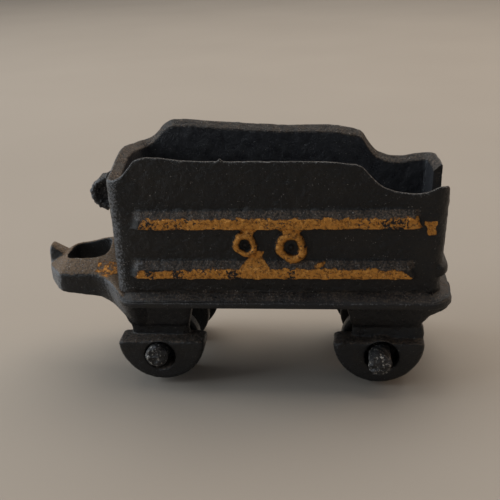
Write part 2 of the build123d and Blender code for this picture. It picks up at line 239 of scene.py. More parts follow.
tub = {
    "ribOut": 1.4,
    "frontBulge": 0.5,
    "frontRadius": 2.3,
    "rearRadius": 2.6,
    "lean": (-0.5, 0.45),  # the rear end's place at its foot and its tip, beside a straight wall
    "topWall": 1.75,
    "footWall": 2.25,
    "bevel": 1.25,
    "frontSeamTop": 27.0,
    # top edges of the side walls: mm from the front end, mm above the foot
    "nearTop": [
        (-1, 24.4), (1.4, 24.4), (2.9, 25.1), (4.4, 26.6), (5.6, 28.0), (7.0, 28.75), (9.0, 28.9),
        (15.5, 28.2), (31.0, 27.8), (48.3, 27.1), (50.2, 26.6), (51.8, 25.0), (53.5, 23.2),
        (55.5, 22.0), (59.8, 21.1), (62.8, 21.3), (65.0, 22.3), (66.0, 22.3), (69, 21.6),
    ],
    "farTop": [
        (-1, 25.1), (0.4, 25.2), (2.3, 25.6), (4.1, 26.7), (5.9, 28.6), (7.6, 29.7), (9.9, 29.9),
        (16.3, 29.4), (32.6, 28.2), (50.1, 26.8), (51.2, 26.1), (52.2, 24.5), (53.8, 22.4),
        (55.5, 21.4), (57.0, 20.9), (59.9, 20.7), (63.0, 21.2), (65.5, 21.4), (66.8, 21.5), (69, 21.6),
    ],
    "seamTop": {-1: 16.4, 1: 22.5},  # height of the rear end at its seam, near and far half
    "ribs": [(14.2, 3.8, 62.6), (3.5, 2.6, 61.8)],  # face's foot, start and end
    "ribFace": 2.1,
    "ribSlope": 1.9,
    "rings": [(36.4, 10.1, 3.3, 0.9), (27.1, 10.7, 2.6, 0.74)],  # place, radius, half the rim's width
    "ringOut": 1.0,
    "studRadius": 0.55,
    "goldRuns": [(5.6, 62.2), (3.9, 61.0)],  # start and end of the gold on each rib
    "burr": (22.9, 0.5),  # place along the near edge, and height
    "rearBead": (4.7, 1.3, 1.15),  # height, half its width, how far it stands out
    "footLugs": (21.0, 23.5),  # from the front end and from the rear end
    "grain": [(0.055, 0.5, 1), (0.085, 1.4, 2), (0.12, 7.0, 3)],  # height, size and seed of the lumps
    "seamGroove": 0.07,
    # flaked spots: place along, height, half length, how bare
    "flakes": [
        (56.6, 15.4, 3.6, 1.0), (51.0, 15.6, 2.0, 0.5), (7.5, 15.4, 2.6, 0.75), (14.0, 15.6, 3.5, 0.5),
        (33.0, 15.8, 2.5, 0.35), (24.6, 4.4, 1.5, 1.25), (13.0, 4.6, 1.4, 1.15), (7.2, 4.6, 1.2, 1.1),
        (36.4, 4.4, 0.8, 1.1), (19.0, 5.8, 2.4, 0.5),
    ],
    "stems": [(36.4, 12.9, 15.0, 1.6), (27.9, 12.7, 15.0, 0.9)],  # place, foot, top, half width
    "stemFoot": 14.2,  # height at which a stem's base is widest
}


def tubPlan(step=0.2):
    # Half of the tub's outline, from the front seam round both corners to the rear seam:
    # straight runs joined by quarter circles. Gives place, outward direction and run along it.
    half = halfWidth
    rf, rr = tub["frontRadius"], tub["rearRadius"]
    lengths = [half - rf, rf * math.pi / 2, tubRear - tubFront - rf - rr, rr * math.pi / 2, half - rr]
    ends = np.cumsum([0] + lengths)
    s = np.linspace(0, ends[-1], int(ends[-1] / step))
    part = np.clip(np.searchsorted(ends, s, side="right") - 1, 0, 4)
    t = s - ends[part]
    one, two = t / rf, t / rr
    x = np.choose(part, [
        tubFront + 0 * t, tubFront + rf * (1 - np.cos(one)), tubFront + rf + t,
        tubRear - rr * (1 - np.sin(two)), tubRear + 0 * t,
    ])
    y = np.choose(part, [
        t, half - rf * (1 - np.sin(one)), half + 0 * t, half - rr * (1 - np.cos(two)), half - rr - t,
    ])
    nx = np.choose(part, [-1 + 0 * t, -np.cos(one), 0 * t, np.sin(two), 1 + 0 * t])
    ny = np.choose(part, [0 * t, np.sin(one), 1 + 0 * t, np.cos(two), 0 * t])
    return x, y, nx, ny, part


def ringRun(dx, dz):
    # Distance from a ring's middle, swelled unevenly round it as a hand-cut pattern is
    turn = np.arctan2(dz, dx)
    swell = 0.05 * np.sin(2 * turn + 0.6) + 0.045 * np.sin(3 * turn + 1.0) + 0.03 * np.sin(5 * turn)
    return np.hypot(dx, dz) * (1 + swell)


def wallRelief(x, z):
    # Height of ribs, rings and stems over the wall's face; x and z from the tub's front and foot
    height = np.zeros_like(x)
    for low, start, end in tub["ribs"]:
        wander = 0.08 * np.sin(x * 0.9 + low) + 0.05 * np.sin(x * 2.3)
        up = z - low - wander
        face = ease(up / 0.3 + 0.5)
        fall = np.clip(1 - (up - tub["ribFace"]) / tub["ribSlope"], 0, 1)
        ends = ease((x - start - 0.25 * up) / 1.9) * ease((end - x - 0.35 * up) / 1.6)
        height = np.maximum(height, tub["ribOut"] * face * np.minimum(fall, 1) * ends)
    for cx, cz, radius, rim in tub["rings"]:
        away = ringRun(x - cx, z - cz)
        across = (away - (radius - rim)) / rim
        height = np.maximum(height, tub["ringOut"] * np.sqrt(np.clip(1 - across**2, 0, 1)))
        stud = np.clip(1 - (away / tub["studRadius"]) ** 2, 0, 1)
        height = np.maximum(height, 0.5 * tub["ringOut"] * np.sqrt(stud))
    for cx, low, high, width in tub["stems"]:
        flare = 1.8 * np.exp(-np.clip(tub["stemFoot"] - z, 0, 9) / 0.55)
        across = np.clip(1 - ((x - cx) / (width + flare)) ** 2, 0, 1)
        height = np.maximum(height, 0.85 * tub["ringOut"] * np.sqrt(across) * (z > low) * (z < high))
    return height


def flakeField(x, z):
    # Where the gold has flaked most: soft spots along the two strips
    field = np.zeros_like(x)
    for cx, cz, width, depth in tub["flakes"]:
        away = np.hypot((x - cx) / width, (z - cz) / 1.6)
        field = np.maximum(field, depth * np.exp(-(away**4)))
    return field


def goldField(x, z):
    # How far inside the brushed gold a point lies, in mm; below zero is bare enamel
    wave = 0.07 * np.sin(x * 0.8 + 1) + 0.05 * np.sin(x * 2.1)
    field = np.full_like(x, -3.0)
    for (low, _, _), (goldStart, goldEnd) in zip(tub["ribs"], tub["goldRuns"]):
        up = z - low
        worn = (0.5 * ease((22 - x) / 12) + 0.25 * ease((x - 50) / 8)) * (low < 10)
        strip = np.minimum(up + 0.25, tub["ribFace"] + 0.3 - up - wave - worn)
        ends = np.minimum(x - goldStart - 0.5 * up, goldEnd - x - (0.4 if low > 10 else 1.3) * up)
        field = np.maximum(field, np.minimum(strip, ends))
    for cx, cz, radius, rim in tub["rings"]:
        away = ringRun(x - cx, z - cz)
        field = np.maximum(field, rim * 0.95 - np.abs(away - (radius - rim)))
    for cx, low, high, width in tub["stems"]:
        spread = width * 0.85 + 2.1 * np.exp(-np.clip(tub["stemFoot"] - z, 0, 9) / 0.55)
        field = np.maximum(field, np.minimum(spread - np.abs(x - cx), np.minimum(z - low, high - 0.2 - z)))
    # a bell, a spur and a dab brushed on by hand
    flare = 1.5 + 1.7 * ease((7.9 - z) / 2.2) + 0.5 * ease((z - 8.2) / 0.6)
    skirt = np.minimum(flare - np.abs(x - 29.0), np.minimum(z - 4.0, 9.3 - z))
    field = np.maximum(field, skirt)
    spur = 0.55 - np.hypot((x - 42.0 - 1.2 * (z - 6.4)) / 1.9, z - 6.4)
    field = np.maximum(field, spur)
    waist = 0.85 + 0.3 * ease((z - 14.2) / 0.6)
    dab = np.minimum(waist - np.abs(x - 63.9 + 0.12 * (z - 14.0)), 1.5 - np.abs(z - 13.95))
    return np.maximum(field, 2.2 * dab)


def tubTop(along, y, part, side):
    # Height of the wall's edge along the outline: the side's curve, an arch up to the front seam
    # and a slope to the rear seam, each blended in by an eased share, plus lumps and a burr
    top = smoothCurve(tub["nearTop"] if side < 0 else tub["farTop"], along)
    arch = ease(1 - y / (halfWidth - tub["frontRadius"])) ** 0.7
    top = np.where(part == 0, top + (tub["frontSeamTop"] - top) * arch, top)
    inward = np.clip((halfWidth - 1.2 - y) / (4.5 if side < 0 else 11.0), 0, 1)
    top = np.where(along > 60, top + (tub["seamTop"][side] - top) * ease(inward) * (part >= 3), top)
    at = np.stack([along, y, 0 * y], -1)
    top += 0.10 * lumps(at, 2.2, 5) + 0.06 * lumps(at, 0.7, 6)
    place, height = tub["burr"]
    return top + height * np.exp(-(((along - place) / 0.35) ** 2)) * (part == 2) * (side < 0)


def tubRows(top):
    # Rows up the wall, as inset and height: the outer face up to the ribs and on to the edge, the
    # rounded lip, the bevel, and down the inside
    middle = np.minimum(19.4, top - 1.5)
    lip = [(0.05, 0.16), (0.17, 0.04), (0.34, 0.0), (0.52, 0.08)]
    lipIn, lipDrop = lip[-1]
    innerTop = top - lipDrop - tub["bevel"]
    rows = []
    for t in np.linspace(0, 1, 100):
        rows.append((0.0, middle * t))
    for t in np.linspace(0, 1, 34)[1:]:
        rows.append((0.0, middle + (top - 0.35 - middle) * t))
    for inset, drop in lip:
        rows.append((inset, top - drop))
    for t in np.linspace(0, 1, 7)[1:]:
        rows.append((lipIn + (tub["topWall"] - lipIn) * t, top - lipDrop - tub["bevel"] * t))
    for t in np.linspace(0, 1, 44)[1:]:
        rows.append((tub["topWall"] + (tub["footWall"] - tub["topWall"]) * t, innerTop * (1 - t)))
    inset = np.stack([0 * top + row[0] for row in rows], 1)
    height = np.stack([row[1] for row in rows], 1)
    return inset, height, innerTop[:, None]


def tubPaint(along, y, part, top, inset, height, innerTop):
    # Gold where its field says; dust on the ribs' slopes, the bevel and the foot; wear on the
    # edge, and wear with painted highlight on the front corner and the ribs' front ends; a painted reflection
    # down the inside
    outerRows = inset == 0
    onSide = (part == 2) & outerRows
    gold = np.where(outerRows & (part >= 1) & (part <= 3), goldField(along, height), -3.0)
    slope = np.zeros_like(height)
    for low, start, end in tub["ribs"]:
        up = height - low - tub["ribFace"]
        band = ease(up / 0.25 + 0.6) * ease((tub["ribSlope"] - up) / 0.5)
        slope = np.maximum(slope, band * ease((along - start) / 1.5) * ease((end - along) / 1.5))
    slope = slope * onSide
    bevelRows = (inset >= 0.17) & (height > innerTop - 0.05)
    dust = np.maximum(slope * 0.95, bevelRows * np.where(along < 6, 0.85, 0.62))
    dust = np.maximum(dust, 0.6 * np.exp(-height / 0.9) * outerRows)
    # painted highlight, with wear, on the front corner that faces the window lamp
    cornerWearAndHighlight = np.exp(-(((along - 0.9) / 1.6) ** 2)) * ease((y - halfWidth + 6) / 4) * outerRows
    edgeWear = np.exp(-np.abs(top - height - 0.1) / 0.3) * (inset < 0.4)
    edgeWear = edgeWear * (0.75 + 0.3 * ease((9 - along) / 4))
    # the ribs' front ends also get painted highlight
    wearAndHighlight = np.clip(0.95 * cornerWearAndHighlight + edgeWear + 0.8 * slope * ease((7.5 - along) / 2.0), 0, 1)
    # painted reflection: the inside face of the wall is made lighter and bluer
    insideReflection = ((inset > 1.0) & ~bevelRows) * 1.0
    flake = flakeField(along, height) * onSide
    return {"gold": gold, "dust": dust, "wearAndHighlight": wearAndHighlight, "insideReflection": insideReflection, "flake": flake}


def makeTubHalf(name, side, node):
    # The outline is carried up the wall row by row: each point is the outline's place plus its
    # outward direction times relief and grain less the row's inset. Both ends of the loop are
    # closed at the seams.
    x, y, nx, ny, part = tubPlan()
    top = tubTop(x - tubFront, y, part, side)
    inset, height, innerTop = tubRows(top)
    x, y, nx, ny, part, top = (v[:, None] for v in (x, y, nx, ny, part, top))
    along = np.broadcast_to(x - tubFront, height.shape)
    outerRows = inset == 0
    relief = np.where((part == 2) & outerRows, wallRelief(along, height), 0.0)
    beadHeight, beadHalf, beadOut = tub["rearBead"]
    bead = np.exp(-(((height - beadHeight) / beadHalf) ** 4)) * (part >= 3) * ease(along - 65.4)
    relief = np.where(outerRows, relief + beadOut * bead, relief)
    seam = np.exp(-((y / 0.35) ** 2)) * (part % 4 == 0)
    out = relief - inset - tub["seamGroove"] * seam * outerRows
    place = np.stack([along, np.broadcast_to(y, height.shape) * side, height], -1)
    rough = sum(high * lumps(place, size, seed) for high, size, seed in tub["grain"])
    rough = np.where(outerRows | (inset > 1.0), rough, rough * 0.4)
    out = out + rough * (height >= 0.2)
    px = x + nx * out
    py = side * np.abs(y + ny * out)
    rear = ease((px - (tubRear - 6)) / 6)
    px = px - tub["frontBulge"] * ease((tubFront + 3.5 - px) / 3.0)
    leanFoot, leanTip = tub["lean"]
    px = px + rear * (leanFoot + (leanTip - leanFoot) * ease(height / 22.6))
    shapes = [tubeShape(np.stack([px, py, footZ + height], -1))]
    for lugX in (tubFront + tub["footLugs"][0], tubRear - tub["footLugs"][1]):
        y0, y1 = sorted((side * (halfWidth - 1.9), side * (halfWidth - 6.2)))
        shapes.append(blockBetween(lugX - 3, lugX + 3, y0, y1, footZ - 0.02, footZ + 1.4, 9, 5))
    shape = joinShapes(shapes)
    piece = makePiece(name, shape, "body", [node], 70)
    lugPoints = len(shape[0]) - height.size
    onLugs = {"gold": -3.0, "dust": 0.4, "wearAndHighlight": 0.1, "insideReflection": 0.0, "flake": 0.0}
    for key, values in tubPaint(along, y, part, top, inset, height, innerTop).items():
        paintPoints(piece.data, key, np.concatenate([values.ravel(), np.full(lugPoints, onLugs[key])]))
    return piece


halfWidth = tubHigh[1] - tub["ribOut"]
nearTub = makeTubHalf("nearTubHalf", -1, "tub_near_half")
farTub = makeTubHalf("farTubHalf", 1, "tub_far_half")


sill = {
    "cornerRadius": 4.4,
    "rearShort": 0.6,
    "footIn": 2.4,
    "footRadius": 3.8,
    "slopeDrop": 1.4,
    "rearRise": 0.5,
    "wobble": 0.14,
}


def roundedRing(x0, x1, half, radius, count):
    # Points round a rectangle with quarter-circle corners, evenly spaced along its run
    straight = [x1 - x0 - 2 * radius, 2 * half - 2 * radius] * 2
    arc = radius * math.pi / 2
    ends = np.cumsum([0] + [v for run in straight for v in (run, arc)])
    s = np.linspace(0, ends[-1], count, endpoint=False)
    part = np.clip(np.searchsorted(ends, s, side="right") - 1, 0, 7)
    t = s - ends[part]
    turn = t / radius
    r = radius
    x = np.choose(part, [
        x0 + r + t, x1 - r + r * np.sin(turn), x1 + 0 * t, x1 - r + r * np.cos(turn),
        x1 - r - t, x0 + r - r * np.sin(turn), x0 + 0 * t, x0 + r - r * np.cos(turn),
    ])
    y = np.choose(part, [
        -half + 0 * t, -half + r - r * np.cos(turn), -half + r + t, half - r + r * np.sin(turn),
        half + 0 * t, half - r + r * np.cos(turn), half - r - t, -half + r - r * np.sin(turn),
    ])
    return np.stack([x, y], 1)


def makeFloor():
    # Loops from the middle of the upper face out to the tub's foot, down the sill's slope to the
    # edge, over it by a quarter circle, down and under by another, and back to the middle
    x0, x1, half = floorLow[0], floorHigh[0] - sill["rearShort"], floorHigh[1]
    count = 900
    edge = roundedRing(x0, x1, half, sill["cornerRadius"], count)
    foot = roundedRing(tubFront + 0.1, tubRear - 0.3, half - sill["footIn"], sill["footRadius"], count)
    middle = np.array([(x0 + x1) / 2, 0.0])
    wobble = sill["wobble"] * lumps(np.concatenate([edge, 0 * edge[:, :1]], 1), 3.0, 4)
    rear = ease((edge[:, 0] - x1 + 4.2) / 3.4)
    edgeZ = footZ - sill["slopeDrop"] + wobble * 0.7 + sill["rearRise"] * rear
    rings = []
    for k in (0.35, 0.7, 1.0):
        rings.append((middle + (foot - middle) * k, footZ + 0 * edgeZ))
    for t in (0.15, 0.4, 0.7, 0.92):
        rings.append((foot + (edge - foot) * t, footZ + (edgeZ - footZ) * t))
    away = (edge - foot) / np.hypot(*(edge - foot).T)[:, None]
    for t in np.linspace(0.15, 1, 7):
        turn = t * math.pi / 2
        bend = (0.35 + 0.75 * rear) * (1 - math.sin(turn))
        rings.append((edge - away * bend[:, None], edgeZ - (0.4 + 0.3 * rear) * (1 - math.cos(turn))))
    for t in np.linspace(0.15, 1, 7):
        turn = t * math.pi / 2
        bend = (0.3 + 0.4 * rear) * (1 - math.cos(turn))
        rings.append((edge - away * bend[:, None], floorZ + (0.35 + 0.1 * rear) * (1 - math.sin(turn))))
    for k in (0.7, 0.35):
        rings.append((middle + (edge - middle) * k, floorZ + 0 * edgeZ))
    points = np.stack([np.concatenate([xy, z[:, None]], 1) for xy, z in rings], 0)
    return tubeShape(points)


floorPiece = makePiece("floorCasting", makeFloor(), "body", ["underframe"], 50)


truck = {
    # radius of the half disc, and how far its middle lies behind the hole's
    "plate": {"front": (9.45, 0.4), "rear": (9.6, -0.5)},
    "journalRadius": 3.2,
    "bore": {"front": 0.05, "rear": 0.35},  # how much wider and higher the worn hole is
    "plateEdge": 0.9,
    "plateThick": 5.7,
    "holeIn": 0.4,  # how far the hole's middle lies behind the axle's
    "ledgeUp": 8.6,  # from the frame's lowest point
    "bubble": (8.2, 0.85),  # the little ring on the rear plates: ahead of the hole, under the ledge
    # up from the ledge; inner and outer end from the hole's middle; the face's and the outer
    # corner's place beside the foot's face
    "pedestal": {
        "front": [
            (-1.6, 6.0, 6.6, -0.2, -0.2), (0.3, 6.1, 6.4, 0, -0.1), (2.3, 6.15, 6.7, 0.05, 0),
            (2.8, 6.3, 7.0, 0.5, 0.3), (5.2, 6.9, 7.8, 1.0, 0.8), (7.2, 7.4, 8.2, 1.5, 1.3),
            (9.6, 7.6, 8.5, 1.9, 1.8),
        ],
        "rear": [
            (-1.6, 6.0, 8.6, -0.2, 1.2), (0.3, 6.1, 9.0, 0, 0.9), (1.7, 6.1, 8.95, 0, 0.5),
            (2.3, 6.15, 8.8, 0.05, 0.3), (2.9, 6.3, 8.5, 0.5, 0.4), (4.1, 6.7, 9.2, 0.8, 0.7),
            (5.3, 6.9, 10.4, 1.0, 0.9), (6.2, 7.1, 12.0, 1.2, 1.1), (7.4, 7.4, 13.5, 1.5, 1.4),
            (9.6, 7.6, 14.2, 1.9, 1.8),
        ],
    },
}


def journalPlate(x, z, ledge, side, y0, y1, bore, radius, shift):
    # For each direction round the journal hole, the run out to the half disc's edge: the shorter
    # of the way to the circle and the way to the flat ledge. A closed section loop goes round:
    # hole wall, front face, rounded edge, outer wall and back face.
    turn = np.linspace(0, 2 * math.pi, 300, endpoint=False)
    drop = ledge - z
    sine = np.sin(turn)
    lean = shift * np.cos(turn) + drop * sine
    toCircle = lean + np.sqrt(lean**2 - shift**2 - drop**2 + radius**2)
    toLedge = drop / np.maximum(sine, 1e-3)
    soft = 14.0
    rim = (toCircle**-soft + toLedge**-soft) ** (-1 / soft)
    hole = truck["journalRadius"] + bore
    rim = np.maximum(rim, hole + 0.35)
    edge = np.minimum(truck["plateEdge"], rim - hole - 0.25)
    loop = []
    for t in np.linspace(0, 1, 14):
        loop.append((hole + 0 * rim, y0 + (y1 - 0.25 - y0) * t))
    for t in np.linspace(0, 1, 16):
        loop.append((hole + 0.2 + (rim - edge - hole - 0.2) * t, y1 + 0 * t))
    for t in np.linspace(0, 1, 6)[1:]:
        bend = t * math.pi / 2
        loop.append((rim - edge * (1 - math.sin(bend)), y1 - edge * (1 - math.cos(bend))))
    for t in np.linspace(0, 1, 14)[1:]:
        loop.append((rim, y1 - edge - (y1 - edge - y0) * t))
    for t in np.linspace(0, 1, 10)[1:-1]:
        loop.append((rim + (hole - rim) * t, y0))
    r = np.stack([row[0] for row in loop], 1)
    y = np.stack([row[1] + 0 * rim for row in loop], 1)
    px = x + r * np.cos(turn)[:, None]
    pz = z + r * sine[:, None]
    return ringShape(np.stack([px, side * y, pz], -1))


def pimple(x, y, z, radius=0.72, thickness=0.26):
    # A little ring left by a gas bubble: a circle carried round a circle
    turn = np.linspace(0, 2 * math.pi, 40, endpoint=False)[:, None]
    round2 = np.linspace(0, 2 * math.pi, 16, endpoint=False)[None, :]
    r = radius + thickness * np.cos(round2)
    places = [x + r * np.cos(turn), y + thickness * np.sin(round2) + 0 * turn, z + r * np.sin(turn)]
    return ringShape(np.stack(places, -1))


def makeTruck(place, name, node):
    # Per side a half disc with its journal hole and a pedestal lofted up to the floor through
    # four-cornered sections, with a block across between the sides, all cast together
    low, high = corners(node)
    axleLow, axleHigh = corners(place + "_axle")
    axleX = (axleLow[0] + axleHigh[0]) / 2
    x = axleX + truck["holeIn"]
    outward = -1 if place == "front" else 1
    faceY = high[1]
    innerY = faceY - truck["plateThick"]
    footY = innerY + 2.5
    ledge = low[2] + truck["ledgeUp"]
    holeZ = ledge - 0.4 - truck["journalRadius"]
    topZ = high[2]
    shapes = []
    for side in (-1, 1):
        bore = truck["bore"][place]
        radius, shift = truck["plate"][place]
        shapes.append(journalPlate(x, holeZ + bore, ledge, side, innerY, faceY - 0.05, bore, radius, shift))
        if place == "rear":
            ahead, under = truck["bubble"]
            shapes.append(pimple(x - ahead, side * (faceY - 0.1), ledge - under))
        keys = []
        for up, inner, outer, face, corner in truck["pedestal"][place]:
            xa, xb, z = x - outward * inner, x + outward * outer, min(ledge + up, topZ + 0.3)
            keys.append([
                (xa, side * innerY, z), (xb, side * innerY, z),
                (xb, side * (footY + corner), z), (xa, side * (footY + face), z),
            ])
        shapes.append(loftBlocks(keys, 6.0, 96, 60))
    shapes.append(blockBetween(x - 7.5, x + 7.5, -footY - 0.8, footY + 0.8, topZ - 3.0, topZ + 0.2, 9, 6))
    piece = makePiece(name, joinShapes(shapes), "body", [node])
    castTogether(piece, 0.21, 7)
    # the top is held just under the floor, where the two castings meet
    at = vertexPlaces(piece.data)
    at[:, 2] = np.minimum(at[:, 2], topZ + 0.05)
    piece.data.vertices.foreach_set("co", (at * 0.001).ravel())
    roughen(piece, 0.045, 0.07)
    return piece


frontTruck = makeTruck("front", "frontTruckCasting", "front_truck_frame")
rearTruck = makeTruck("rear", "rearTruckCasting", "rear_truck_frame")


yoke = {
    # runs along are from the tub's front end forward
    "eyeFront": 14.4,
    "eyeBack": 5.5,
    "eyeHalf": 5.0,
    "outerHalf": 8.7,
    "shoulder": 15.0,
    "noseHalf": 2.2,
    "topDrop": 2.3,
    "farEyeIn": 0.8,
    "farRise": 1.2,
    # the webs down to the front truck: place behind the front end, inner limit, outer limit at the
    # top and at the foot, and the two heights
    "web": [
        (-9.0, 5.6, 8.55, 8.4, 24.5, 19.3), (-6.6, 5.9, 9.0, 8.7, 24.3, 18.5),
        (-4.4, 6.3, 10.4, 9.2, 24.1, 17.6), (-2.6, 7.0, 12.2, 9.8, 23.8, 16.6),
        (-1.0, 8.3, 14.2, 10.5, 23.2, 15.2), (0.8, 8.6, 15.9, 11.0, 22.3, 13.4),
        (2.6, 8.7, 15.6, 11.2, 21.3, 12.5), (5.0, 8.8, 12.9, 11.0, 20.3, 12.6),
        (7.8, 8.8, 11.4, 10.2, 19.6, 12.8),
    ],
}


def makeYoke():
    # The frame round the eye: in each direction, the run to the outline is a soft least of the
    # runs to its straight sides, and the run to the eye is a rounded rectangle's.
    reach = tubFront - yokeLow[0]
    eyeMiddle = (yoke["eyeFront"] + yoke["eyeBack"]) / 2
    eyeX = tubFront - eyeMiddle
    turn = np.linspace(0, 2 * math.pi, 360, endpoint=False)
    c, s = np.cos(turn), np.sin(turn)
    a = (yoke["eyeFront"] - yoke["eyeBack"]) / 2
    b = np.where(s > 0, yoke["eyeHalf"] - yoke["farEyeIn"], yoke["eyeHalf"])
    eye = (np.abs(c / a) ** 4 + np.abs(s / b) ** 4) ** -0.25
    noseX = eyeMiddle - reach
    shoulderX = eyeMiddle - yoke["shoulder"]
    chamfer = np.array([yoke["outerHalf"] - yoke["noseHalf"], shoulderX - noseX])
    chamfer = chamfer / np.hypot(*chamfer)  # the outward direction of the nose's slanting sides
    chamferRun = -chamfer[0] * shoulderX + chamfer[1] * yoke["outerHalf"]
    sides = [
        ((1, 0), eyeMiddle + 0.5),
        ((-1, 0), -noseX),
        ((0, 1), yoke["outerHalf"]),
        ((0, -1), yoke["outerHalf"]),
        ((-chamfer[0], chamfer[1]), chamferRun),
        ((-chamfer[0], -chamfer[1]), chamferRun),
    ]
    total = 0
    for (ax, ay), run in sides:
        total = total + (np.maximum(ax * c + ay * s, 1e-4) / run) ** 16
    rim = total ** (-1 / 16)
    edgeX = eyeX + rim * c
    innerX = eyeX + eye * c
    ahead = (tubFront - edgeX) / reach
    topZ = yokeHigh[2] - 1.4 - 0.55 * ease((tubFront - innerX) / reach)
    # the far bar rises to the tub
    topZ = topZ + yoke["farRise"] * ease(1 - (tubFront - edgeX) / 16) * ease(s + 0.3)
    underEdge = footZ - 5.0 + 2.6 * ahead
    underEye = underEdge - 0.3
    rows = []
    for t in np.linspace(0, 1, 12):
        rows.append((eye, underEye + (topZ - 0.3 - underEye) * t))
    for t in np.linspace(0, 1, 12):
        rows.append((eye + 0.25 + (rim - 0.45 - eye - 0.25) * t, topZ - yoke["topDrop"] * t**1.15))
    for t in np.linspace(0, 1, 12)[1:]:
        rows.append((rim, topZ - yoke["topDrop"] - 0.25 - (topZ - yoke["topDrop"] - 0.5 - underEdge) * t))
    for t in np.linspace(0, 1, 8)[1:-1]:
        rows.append((rim + (eye - rim) * t, underEdge + (underEye - underEdge) * t))
    r = np.stack([row[0] + 0 * rim for row in rows], 1)
    z = np.stack([row[1] + 0 * rim for row in rows], 1)
    points = np.stack([eyeX + r * c[:, None], r * s[:, None], z], -1)
    shapes = [ringShape(points)]
    # the horn that stands on the nose
    nose = yokeLow[0]
    hornTop = yokeHigh[2]
    hornFoot = topZ.min() - 3.0
    horn = []
    for x, y, z in (
        (nose + 0.15, 1.5, hornTop - 1.1), (nose + 0.8, 1.9, hornTop - 0.1),
        (nose + 1.9, 2.1, hornTop - 0.7), (nose + 3.6, 2.2, topZ.min() + 0.1),
    ):
        horn.append([(x, -y, hornFoot), (x, y, hornFoot), (x, y * 0.8, z), (x, -y * 0.8, z)])
    shapes.append(loftBlocks(horn, 3.5, 48, 16))
    for side in (-1, 1):
        web = []
        for behind, yIn, yTop, yLow, zTop, zLow in yoke["web"]:
            x, inner = tubFront + behind, side * yIn
            web.append([(x, inner, zLow), (x, side * yLow, zLow), (x, side * yTop, zTop), (x, inner, zTop)])
        shapes.append(loftBlocks(web, 4.5, 64, 40))
    shapes.append(blockBetween(tubFront - 6, tubFront + 14.0, -3.5, 3.5, floorZ - 1.0, floorZ + 0.05, 9, 5))
    return joinShapes(shapes)


yokePiece = makePiece("couplingYoke", makeYoke(), "body", ["coupling_yoke"])
castTogether(yokePiece, 0.2, 9)
roughen(yokePiece, 0.04, 0.08)


hook = {
    "half": 1.8,
    "barUp": 3.2,  # the bar's top, above its underside
    "strapHalf": 3.5,
    "strapLong": 18.4,
    "bend": (16.0, 17.5, 19.6),  # where the bar leaves the strap, turns and runs back
}


def makeHook():
    # A bar that runs back under the floor and turns up at its tip: four-cornered sections, each
    # a middle in the upright plane with two half widths, joined by smooth curves
    low, high = hookLow, hookHigh
    half = hook["half"]
    tip = high[0]
    barTop = low[2] + hook["barUp"]
    leave, turnDown, runBack = hook["bend"]
    keys = []
    for x, z, dx, dz in (
        (low[0] + leave, high[2] - 0.6, 1.6, 1.4),
        (low[0] + turnDown, barTop + 0.2, 1.6, 1.2),
        (low[0] + runBack, low[2] + 1.6, 0.4, 1.6),
        (tip - 2.2, low[2] + 1.5, 0.3, 1.5),
        (tip - 0.95, low[2] + 2.1, 0.9, 1.0),
        (tip - 0.9, barTop + 1.5, 0.85, 0.1),
    ):
        a, b = (x - dx, z + dz), (x + dx, z - dz)
        keys.append([(a[0], -half, a[1]), (a[0], half, a[1]), (b[0], half, b[1]), (b[0], -half, b[1])])
    wide = hook["strapHalf"]
    strap = blockBetween(low[0], low[0] + hook["strapLong"], -wide, wide, high[2] - 1.0, high[2] + 0.02, 9, 5)
    return joinShapes([loftBlocks(keys, 5, 48, 40), strap])


hookPiece = makePiece("rearDrawhook", makeHook(), "body", ["rear_drawhook"])
castTogether(hookPiece, 0.2, 5)
roughen(hookPiece, 0.04, 0.06)


lug = {
    "size": 0.95,  # share of the height it may take
    "back": 0.2,
    "drop": 0.15,
    # half section from the middle out, as shares of radius and half thickness
    "section": [
        (0, 0.55), (0.2, 0.56), (0.38, 0.62), (0.52, 0.82), (0.66, 0.98), (0.8, 1.0), (0.92, 0.9), (1.0, 0.6),
    ],
    "broken": (2.3, 0.13),  # where round the rim a piece is gone, and how deep
    "neckHalf": 3.3,
}


def makeLug():
    # A thick disc with a raised, broken rim and a hollow middle: its section is turned about the
    # cross axis, and the rim's run is cut by sine teeth and one soft dip
    radius = (lugHigh[2] - lugLow[2]) / 2 * lug["size"]
    cx = lugLow[0] + radius + lug["back"]
    cz = (lugLow[2] + lugHigh[2]) / 2 - lug["drop"]
    half = lugHigh[1]
    turn = np.linspace(0, 2 * math.pi, 240, endpoint=False)
    share, thick = np.array(lug["section"]).T
    t = np.linspace(0, 1, 40)
    r = np.interp(t, np.linspace(0, 1, len(share)), share)
    h = np.interp(t, np.linspace(0, 1, len(share)), thick)
    r = np.concatenate([r, r[::-1]])
    h = np.concatenate([h, -h[::-1]])
    teeth = 0.035 * np.sin(turn * 17) + 0.03 * np.sin(turn * 29 + 1) - 0.06
    brokenAt, brokenDeep = lug["broken"]
    broken = brokenDeep * np.exp(-(((turn - brokenAt) / 0.45) ** 2))
    ring = r[None, :] * radius * (1 + (teeth - broken)[:, None] * np.clip(r[None, :], 0, 1) ** 4)
    y = np.broadcast_to(h[None, :] * half, ring.shape)
    disc = np.stack([cx + ring * np.cos(turn)[:, None], y, cz + ring * np.sin(turn)[:, None]], -1)
    wide, tall = half * 0.8, lug["neckHalf"]
    neck = blockBetween(cx + 1.2, tubFront + 0.15, -wide, wide, cz - tall, cz + tall, 5, 8)
    return joinShapes([ringShape(disc), neck])


lugPiece = makePiece("frontLug", makeLug(), "body", ["front_lug"])
castTogether(lugPiece, 0.16, 3)
roughen(lugPiece, 0.10, 0.12)
print("castings under and before the tub are done")


